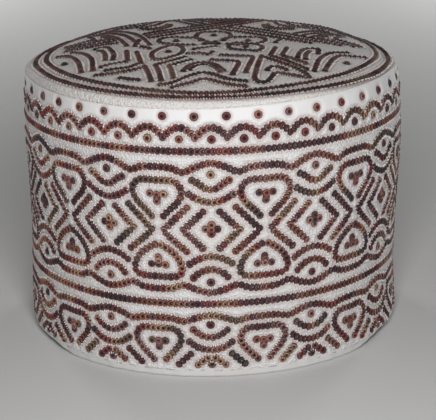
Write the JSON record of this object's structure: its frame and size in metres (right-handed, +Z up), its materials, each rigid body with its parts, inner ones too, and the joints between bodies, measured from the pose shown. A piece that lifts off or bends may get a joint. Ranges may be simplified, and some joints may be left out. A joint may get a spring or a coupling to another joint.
{
  "type": "kumma cap",
  "caption": "Round stiff cloth kumma cap with an upright embroidered band, a low domed crown and an open underside.",
  "frame": {"origin": "on the surface the cap rests on, under the middle of its bounding box", "axes": "+Z up along the cap's height, which is its shortest extent; -Y towards the side that the picture shows"},
  "size_m": [0.1828, 0.1824, 0.1377],
  "materials": {
    "band_cloth": "white quilted cotton with brown, plum and tan eyelet stitching",
    "crown_cloth": "white quilted cotton with brown and plum eyelet stitching",
    "hem_cloth": "plain white turned-up cotton edge"
  },
  "bodies": {
    "root": {"side_band": "band_cloth", "crown_panel": "crown_cloth", "hem_fold": "hem_cloth"}
  },
  "joints": []
}
